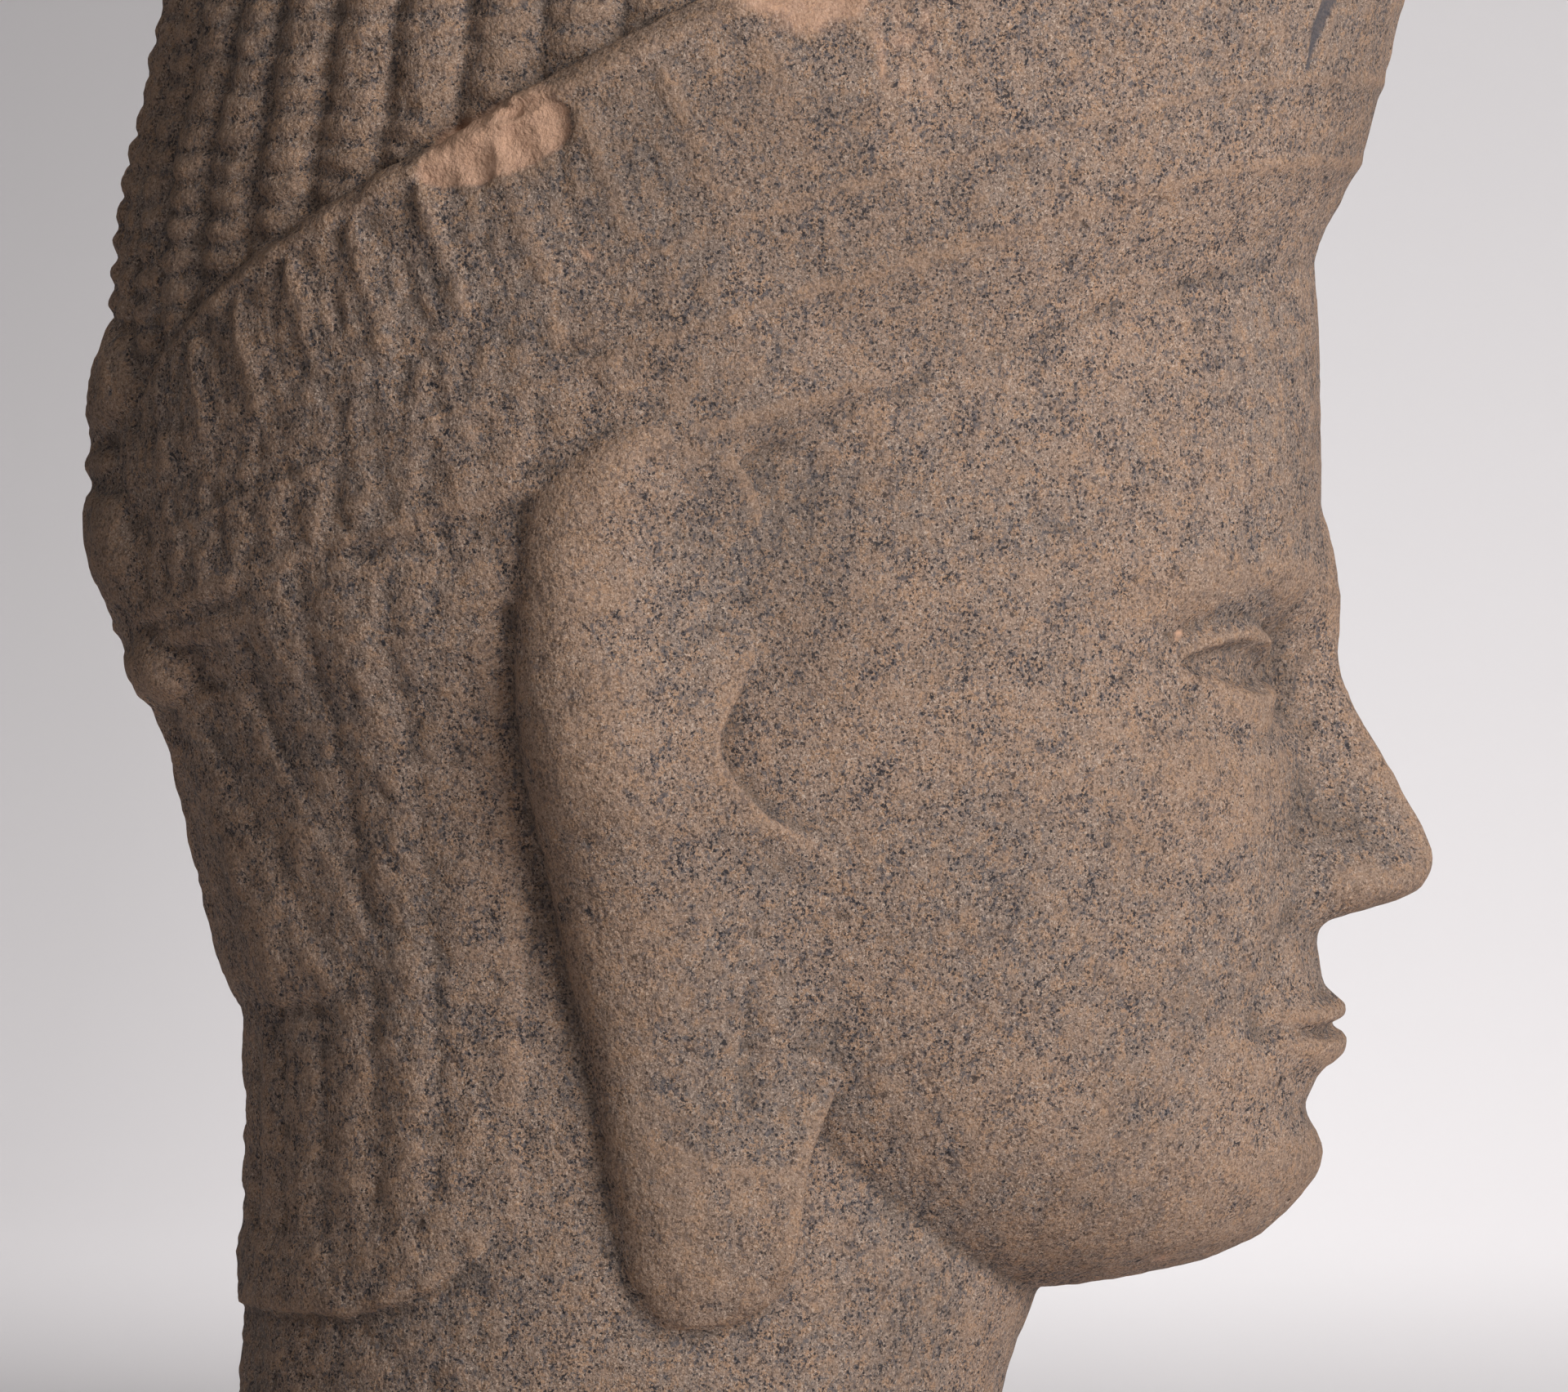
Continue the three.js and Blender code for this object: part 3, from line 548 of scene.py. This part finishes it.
def tail():
    """A flaring panel wrapped round the nape, with shallow folds."""
    columns, rows = 81, 53
    across, share = np.meshgrid(np.linspace(-1, 1, columns), np.linspace(0, 1, rows), indexing="ij")
    across, share = across.ravel(), share.ravel()
    height = mix(TAIL_BOTTOM, TAIL_TOP + 3, share) - 3 * (1 - share) * (1 - across**2)
    angle = 180 + across * mix(56, 36, share)
    uneven = layered(on_oval(angle, height, *nape_oval(height)), 11, 51)
    height = height + (1 - share) ** 2 * 2.4 * uneven
    ridge = mix(0.8, 0.62, share)
    panel = 1.9 * ease(ridge + 0.06, ridge - 0.03, np.abs(across)) - 1.2
    place = across / ridge
    wave = np.sin(place * 7 + 0.9 * np.sin(share * 5)) + 0.6 * np.sin(place * 15 + share * 3)
    folds = panel + 0.7 * wave * ease(1.05, 0.8, np.abs(place))
    edge = mix(1, 0.7, across**4)
    outer = on_oval(angle, height, *nape_oval(height), tail_out(share) * edge + folds)
    inner = on_oval(angle, height, *nape_oval(height), -8.0)

    i, j = np.meshgrid(np.arange(columns - 1), np.arange(rows - 1), indexing="ij")
    a = (i * rows + j).ravel()
    quad = np.stack([a, a + rows, a + rows + 1, a + 1], -1)
    shift = len(outer)
    faces = [quad[:, [0, 1, 2]], quad[:, [0, 2, 3]], shift + quad[:, [0, 2, 1]], shift + quad[:, [0, 3, 2]]]
    up, along = np.arange(rows - 1), np.arange(columns - 1)
    border = np.concatenate([
        along * rows, (columns - 1) * rows + up, (columns - 1 - along) * rows + rows - 1, rows - 1 - up,
    ])
    after = np.roll(border, -1)
    faces.append(np.stack([border, shift + border, after], -1))
    faces.append(np.stack([after, shift + border, shift + after], -1))
    return np.concatenate([outer, inner]), np.concatenate(faces)


# The knot's reach behind the neck's axis and its half width by height
knot_reach = through([
    (KNOT_BOTTOM, 80), (148, 85.5), (151, 88.5), (156, 90.6), (158.5, 90.2), (162.5, 91.2), (166, 93.8),
    (170, 95.5), (174, 97.3), (181, 98), (185, 98), (188, 96.6), (192, 97.9), (195.6, 96.8), (201, 98),
    (206, 97.9), (213, 96), (220, 93), (KNOT_TOP, 88),
])
knot_half = through([
    (KNOT_BOTTOM, 20), (149, 30), (154, 33), (159, 31), (162, 28), (167, 28), (177, 29), (184, 27),
    (188, 21), (192, 22), (196, 19), (203, 27), (212, 25), (220, 16), (KNOT_TOP, 6),
])


def knot_point(angle, height):
    along, across = -np.cos(np.radians(angle)), np.sin(np.radians(angle))
    cleft = 3.5 * hill(across, 0.22) * ease(196, 204, height)
    reach = np.where(along > 0, knot_reach(height) - KNOT_MIDDLE - cleft, 20)
    y = KNOT_MIDDLE + np.sign(along) * np.abs(along) ** 0.55 * reach
    x = -knot_half(height) * np.sign(across) * np.abs(across) ** 0.75
    return np.stack([x, y, height], -1)


knot = ring_body(
    round_angles(5),
    np.linspace(KNOT_TOP, KNOT_BOTTOM, 90),
    knot_point,
    lambda height: (0, KNOT_MIDDLE, height),
)


def mesh_of(points, triangles, name):
    mesh = bpy.data.meshes.new(name)
    mesh.vertices.add(len(points))
    mesh.vertices.foreach_set("co", np.asarray(points, np.float32).ravel())
    mesh.loops.add(triangles.size)
    mesh.loops.foreach_set("vertex_index", triangles.ravel().astype(np.int32))
    mesh.polygons.add(len(triangles))
    mesh.polygons.foreach_set("loop_start", np.arange(len(triangles), dtype=np.int32) * 3)
    mesh.update(calc_edges=True)
    return mesh


def modified(obj, kind, **settings):
    """Adds a modifier and gives the mesh that it makes."""
    modifier = obj.modifiers.new(kind.lower(), kind)
    for key, value in settings.items():
        setattr(modifier, key, value)
    graph = bpy.context.evaluated_depsgraph_get()
    mesh = bpy.data.meshes.new_from_object(obj.evaluated_get(graph))
    obj.modifiers.clear()
    return mesh


def positions(mesh):
    found = np.empty(len(mesh.vertices) * 3, np.float32)
    mesh.vertices.foreach_get("co", found)
    return found.reshape(-1, 3).astype(float)


def normals(mesh):
    found = np.empty(len(mesh.vertices) * 3, np.float32)
    mesh.vertex_normals.foreach_get("vector", found)
    return found.reshape(-1, 3).astype(float)


def edges_of(mesh):
    found = np.empty(len(mesh.edges) * 2, np.int32)
    mesh.edges.foreach_get("vertices", found)
    return found.reshape(-1, 2)


def mark(mesh, name, values):
    """Keeps a value for each vertex, for the material."""
    attribute = mesh.attributes.new(name, "FLOAT", "POINT")
    attribute.data.foreach_set("value", np.asarray(values, np.float32))


def place_at(mesh, points):
    mesh.vertices.foreach_set("co", points.astype(np.float32).ravel())
    mesh.update()


def averaged(values, edges, rounds, strength=0.5):
    """Each value moves towards the mean of its neighbours."""
    first, second = edges.T
    count = np.bincount(edges.ravel(), minlength=len(values))[:, None]
    values = values.reshape(len(values), -1).copy()
    for _ in range(rounds):
        total = np.zeros_like(values)
        for column in range(values.shape[1]):
            total[:, column] += np.bincount(first, values[second, column], len(values))
            total[:, column] += np.bincount(second, values[first, column], len(values))
        values += strength * (total / np.maximum(count, 1) - values)
    return values


# One skin over all the forms
parts = [head, neck, cap, band, ear(1), ear(-1), nape, tail(), knot]
offset, all_points, all_triangles = 0, [], []
for points, triangles in parts:
    all_points.append(points)
    all_triangles.append(triangles + offset)
    offset += len(points)
forms = mesh_of(np.concatenate(all_points), np.concatenate(all_triangles), "carved_head")
stone = bpy.data.objects.new("carved_head", forms)
bpy.context.scene.collection.objects.link(stone)
stone.data = modified(stone, "REMESH", mode="VOXEL", voxel_size=VOXEL, use_smooth_shade=True)

points = positions(stone.data)
edges = edges_of(stone.data)
above = ease(0.5, 3, points[:, 2])[:, None]
softened = averaged(points, edges, 2, 0.5)
points = mix(points, softened, above)
place_at(stone.data, points)

# Worn skin, coarser in the hair, with small pits
direction = normals(stone.data)
hair = ease(8, 26, points[:, 1])
rough = (0.3 + 0.35 * hair) * layered(points, 9, 71) + (0.25 + 0.35 * hair) * layered(points, 3, 79, 2)
pits = -0.6 * ease(0.62, 0.85, noise(points, 2.3, 83)) * ease(0, 0.6, noise(points, 30, 89))
points = points + direction * (rough + pits)[:, None] * above

# Breaks along the diadem's upper edge on the right side, by centre and radii, with a paler, rougher stone
fresh = np.zeros(len(points))
breaks = [
    ((-87, 22, 254), (9, 14, 7)),
    ((-88, -37, 275), (6.5, 17, 10)),
]
for centre, radii in breaks:
    away = (points - centre) / radii
    distance = np.linalg.norm(away, axis=1)
    inside = distance < 1
    uneven = 1 + 0.14 * layered(points, 5, 101)
    points[inside] = centre + away[inside] / distance[inside, None] * radii * uneven[inside, None]
    fresh = np.maximum(fresh, ease(1.2, 0.95, distance + 0.25 * layered(points, 6, 103)))

# The paler stone of a flake lost below that edge
flake_y, flake_z = 20, 246.5
along_flake = points[:, 1] - flake_y
flake = np.hypot(along_flake / 13, (points[:, 2] - flake_z + 0.3 * along_flake) / 6.5)
flake = ease(1.08, 0.92, flake + 0.22 * layered(points, 6, 111)) * (points[:, 0] < -60)
fresh = np.maximum(fresh, 1.2 * flake)
points = points - direction * (flake * (0.7 + 0.5 * layered(points, 2.5, 113)))[:, None]


def from_line(start, end):
    """How far each point lies from a stroke, seen from the side."""
    along = np.subtract(end, start)
    step = np.clip(((points[:, 1:] - start) @ along) / (along @ along), 0, 1)
    return np.linalg.norm(points[:, 1:] - start - step[:, None] * along, axis=1)


# A grey crack down the diadem's front, as (Y, Z) on the right side
crack = np.zeros(len(points))
right = points[:, 0] < 0
line = [(-126.4, 283), (-127.6, 274), (-125.2, 268.5), (-123.7, 261.5)]
half_width = mix(0.3, 1.3, ease(260, 276, points[:, 2])) + 0.5 * layered(points, 4, 107)
for start, end in zip(line, line[1:]):
    gap = from_line(start, end)
    crack = np.maximum(crack, ease(0.5, -0.4, gap - half_width) * right * (points[:, 2] > 250))
points = points - direction * crack[:, None] * 0.4

# Pale specks and light scratches, placed in the same way
specks = [(-100.5, 160.7), (3.75, 226.8), (-99, 48)]
for y, z in specks:
    gap = np.hypot(points[:, 1] - y, points[:, 2] - z)
    fresh = np.maximum(fresh, 1.6 * ease(1.1, 0.4, gap) * right)
scratches = [
    ((-46, 268), (-47.5, 257)),
    ((-49.2, 270), (-51.5, 255)),
    ((-54.5, 271), (-55.5, 254.5)),
    ((-45, 263), (-53, 264.5)),
]
ragged = 0.4 * layered(points, 4, 109)
for start, end in scratches:
    fresh = np.maximum(fresh, 0.8 * ease(0.9, 0.2, from_line(start, end) + ragged) * right)

# The skin stays inside the solid's box
low, high = (np.array(corner) / MM for corner in cad_box)
points = np.clip(points, low, high)
mark(stone.data, "fresh", fresh)
mark(stone.data, "crack", crack)
place_at(stone.data, points)

count = sum(len(face.vertices) - 2 for face in stone.data.polygons)
stone.data = modified(stone, "DECIMATE", ratio=min(1, TRIANGLES / count))
points = positions(stone.data)

# How far each place lies in a hollow, for the patina and the painted shade in the hollows
edges = edges_of(stone.data)
direction = normals(stone.data)
fine = ((averaged(points, edges, 4) - points) * direction).sum(1)
broad = ((averaged(points, edges, 40) - points) * direction).sum(1)
hollow = np.clip(fine * 2.4 + broad * 0.3, -1, 1)
mark(stone.data, "hollow", hollow)
stone.data.polygons.foreach_set("use_smooth", np.ones(len(stone.data.polygons), bool))
place_at(stone.data, points * MM)


# Sandstone
def linear(*colour):
    """The linear colour for a red, green and blue of 255."""
    shares = [part / 255 for part in colour]
    light = [share / 12.92 if share <= 0.04045 else ((share + 0.055) / 1.055) ** 2.4 for share in shares]
    return *light, 1


class Nodes:
    """A short way to write a node tree."""

    def __init__(self, name):
        self.material = bpy.data.materials.new(name)
        self.material.use_nodes = True
        self.tree = self.material.node_tree
        self.shader = self.tree.nodes["Principled BSDF"]

    def add(self, kind, inputs=(), **settings):
        node = self.tree.nodes.new(kind)
        for key, value in settings.items():
            setattr(node, key, value)
        for key, value in dict(inputs).items():
            self.feed(node.inputs[key], value)
        return node

    def feed(self, socket, value):
        if isinstance(value, bpy.types.NodeSocket):
            self.tree.links.new(value, socket)
        else:
            socket.default_value = value

    def noise(self, place, scale, detail=2.0, rough=0.5, distortion=0.0):
        inputs = {"Vector": place, "Scale": scale, "Detail": detail}
        inputs |= {"Roughness": rough, "Distortion": distortion}
        return self.add("ShaderNodeTexNoise", inputs).outputs["Fac"]

    def ramp(self, value, low, high, to_low=0.0, to_high=1.0):
        inputs = {"Value": value, "From Min": low, "From Max": high, "To Min": to_low, "To Max": to_high}
        return self.add("ShaderNodeMapRange", inputs).outputs["Result"]

    def math(self, how, a, b=0.0):
        return self.add("ShaderNodeMath", {0: a, 1: b}, operation=how).outputs[0]

    def blend(self, share, a, b):
        return self.add("ShaderNodeMix", {0: share, 6: a, 7: b}, data_type="RGBA").outputs[2]

    def attribute(self, name):
        return self.add("ShaderNodeAttribute", attribute_name=name).outputs["Fac"]


nodes = Nodes("sandstone")
place = nodes.add("ShaderNodeTexCoord").outputs["Object"]
hollow_value = nodes.attribute("hollow")

tan = linear(166, 140, 122)
warm = linear(180, 144, 115)
grey = linear(148, 130, 118)
brown = linear(104, 86, 75)
dark = linear(50, 48, 52)
slate = linear(88, 85, 89)
# Patina colour, also used to paint the shade in the hollows
patina_and_shade = linear(78, 68, 61)
pale = linear(203, 181, 164)
fresh_stone = linear(220, 174, 144)

# Broad tones, then pale, brown and warm grains, then dark specks in looser and denser patches
mottle = nodes.noise(place, 150, 3, 0.6)
density = nodes.ramp(mottle, 0.35, 0.65, -0.035, 0.035)
body = nodes.blend(nodes.ramp(nodes.noise(place, 30, 3), 0.4, 0.62), tan, grey)
body = nodes.blend(nodes.ramp(nodes.noise(place, 420, 3, 0.65), 0.48, 0.62, 0, 0.8), body, warm)
body = nodes.blend(nodes.ramp(nodes.noise(place, 2300, 2, 0.7), 0.53, 0.37, 0, 0.95), body, brown)
body = nodes.blend(nodes.ramp(nodes.noise(place, 2100, 2, 0.7), 0.53, 0.65, 0, 0.9), body, pale)
medium = nodes.math("ADD", nodes.noise(place, 1050, 3, 0.65, 0.3), density)
body = nodes.blend(nodes.ramp(medium, 0.54, 0.61, 0, 0.8), body, slate)
small = nodes.math("ADD", nodes.noise(place, 1700, 2, 0.6), density)
body = nodes.blend(nodes.ramp(small, 0.595, 0.635, 0, 0.92), body, dark)
flecks = nodes.math("ADD", nodes.noise(place, 620, 3, 0.7, 0.5), density)
body = nodes.blend(nodes.ramp(flecks, 0.645, 0.67, 0, 0.92), body, dark)
cells = nodes.add("ShaderNodeTexVoronoi", {"Vector": place, "Scale": 950.0}).outputs["Distance"]
sparse = nodes.math("ADD", nodes.noise(place, 640, 2, 0.6), density)
dots = nodes.math("MULTIPLY", nodes.ramp(cells, 0.34, 0.24), nodes.ramp(sparse, 0.52, 0.57, 0, 0.95))
body = nodes.blend(dots, body, dark)

# Patina in stains; patina with painted shade in hollows; worn edges, fresh breaks and the crack
stain = nodes.ramp(nodes.noise(place, 17, 4, 0.62), 0.5, 0.68, 0, 0.4)
# Hollows are darkened partly as patina and partly as painted shade, standing in for the shade in recesses
recess_patina_and_shade = nodes.ramp(hollow_value, 0.1, 0.8, 0, 0.6)
body = nodes.blend(nodes.math("MAXIMUM", stain, recess_patina_and_shade), body, nodes.blend(0.3, patina_and_shade, body))
ridge = nodes.ramp(hollow_value, -0.1, -0.6, 0, 0.3)
body = nodes.blend(ridge, body, warm)
body = nodes.blend(nodes.ramp(nodes.attribute("fresh"), 0.1, 1.6, 0, 0.9), body, fresh_stone)
body = nodes.blend(nodes.ramp(nodes.attribute("crack"), 0.2, 0.8, 0, 0.85), body, slate)
nodes.feed(nodes.shader.inputs["Base Color"], body)
nodes.feed(nodes.shader.inputs["Roughness"], 0.9)
nodes.feed(nodes.shader.inputs["Specular IOR Level"], 0.3)

lumps = nodes.math("MULTIPLY", nodes.noise(place, 260, 3, 0.6), 1.5)
relief = nodes.math("ADD", nodes.noise(place, 900, 3, 0.7), lumps)
bump = nodes.add("ShaderNodeBump", {"Height": relief, "Strength": 0.8, "Distance": 0.0008})
nodes.feed(nodes.shader.inputs["Normal"], bump.outputs["Normal"])
stone.data.materials.clear()
stone.data.materials.append(nodes.material)

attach(stone, "root")
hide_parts("stone_head")


# Floor, backdrop, camera and light
def backdrop():
    """A pale floor that curves up into a wall behind the object, seen from the head's right side, with
    painted shade making the paper darker towards +Y.
    """
    near, far, side, top, bend = -2.6, 1.8, 3.2, 3.2, 0.9
    turns = np.linspace(0, math.pi / 2, 17)
    curve = [(far - bend + bend * math.sin(turn), bend - bend * math.cos(turn)) for turn in turns]
    profile = [(near, 0), *curve, (far, top)]
    points = [(x, y, z) for x, z in profile for y in (-side, side)]
    faces = [(2 * i, 2 * i + 2, 2 * i + 3, 2 * i + 1) for i in range(len(profile) - 1)]
    mesh = bpy.data.meshes.new("backdrop")
    mesh.from_pydata(points, [], faces)
    mesh.polygons.foreach_set("use_smooth", [True] * len(faces))
    obj = bpy.data.objects.new("backdrop", mesh)
    bpy.context.scene.collection.objects.link(obj)
    paper = Nodes("paper")
    place = paper.add("ShaderNodeTexCoord").outputs["Object"]
    along = paper.add("ShaderNodeSeparateXYZ", {"Vector": place}).outputs["Y"]
    pale_paper, shaded_paper = linear(226, 222, 223), linear(205, 201, 202)
    # Painted shade: the paper gets darker towards +Y, the side away from the lamps
    tone = paper.blend(paper.ramp(along, -0.12, 0.2), pale_paper, shaded_paper)
    paper.feed(paper.shader.inputs["Base Color"], tone)
    paper.feed(paper.shader.inputs["Roughness"], 0.95)
    mesh.materials.append(paper.material)
    return obj


backdrop()

scene = bpy.context.scene
scene.view_settings.view_transform = "Standard"
world = bpy.data.worlds.new("studio")
world.use_nodes = True
background = world.node_tree.nodes["Background"]
background.inputs["Color"].default_value = (1, 1, 1, 1)
background.inputs["Strength"].default_value = 0.05
scene.world = world

camera = bpy.data.objects.new("camera", bpy.data.cameras.new("camera"))
scene.collection.objects.link(camera)
scene.camera = camera
camera.data.lens = 200
camera.data.sensor_width = 36
camera.data.dof.use_dof = False

# The photograph's frame: its size in pixels, the column of the neck's axis and the row of the flat cut
PIXEL = 0.15 * MM
PHOTO_WIDTH, PHOTO_HEIGHT = 1920, 1704
AXIS_COLUMN, CUT_ROW = 760, 1850
target = Vector((0, -(PHOTO_WIDTH / 2 - AXIS_COLUMN) * PIXEL, (CUT_ROW - PHOTO_HEIGHT / 2) * PIXEL))
distance = PHOTO_WIDTH * PIXEL * camera.data.lens / camera.data.sensor_width
camera.location = target - Vector((distance, 0, 0))
camera.rotation_euler = (math.radians(90), 0, math.radians(-90))


def area_light(name, place, aim, size, power, spread=180):
    lamp = bpy.data.objects.new(name, bpy.data.lights.new(name, "AREA"))
    lamp.data.shape = "DISK"
    lamp.data.size = size
    lamp.data.energy = power
    lamp.data.spread = math.radians(spread)
    lamp.location = place
    lamp.rotation_euler = (Vector(aim) - Vector(place)).to_track_quat("-Z", "Y").to_euler()
    scene.collection.objects.link(lamp)


area_light("key", (-1.6, -1.5, 0.8), (0, 0, 0.17), 1.4, 45)
area_light("top", (-1.3, 0.1, 1.7), (0, 0, 0.2), 1.0, 4.5)
area_light("floor", (0.8, -0.1, 2.2), (0.8, -0.1, 0), 0.6, 4.2, spread=60)
area_light("wall", (0.6, -2.9, 0.8), (1.9, -0.2, 0.3), 1.0, 5.6, spread=60)

bpy.context.view_layer.update()
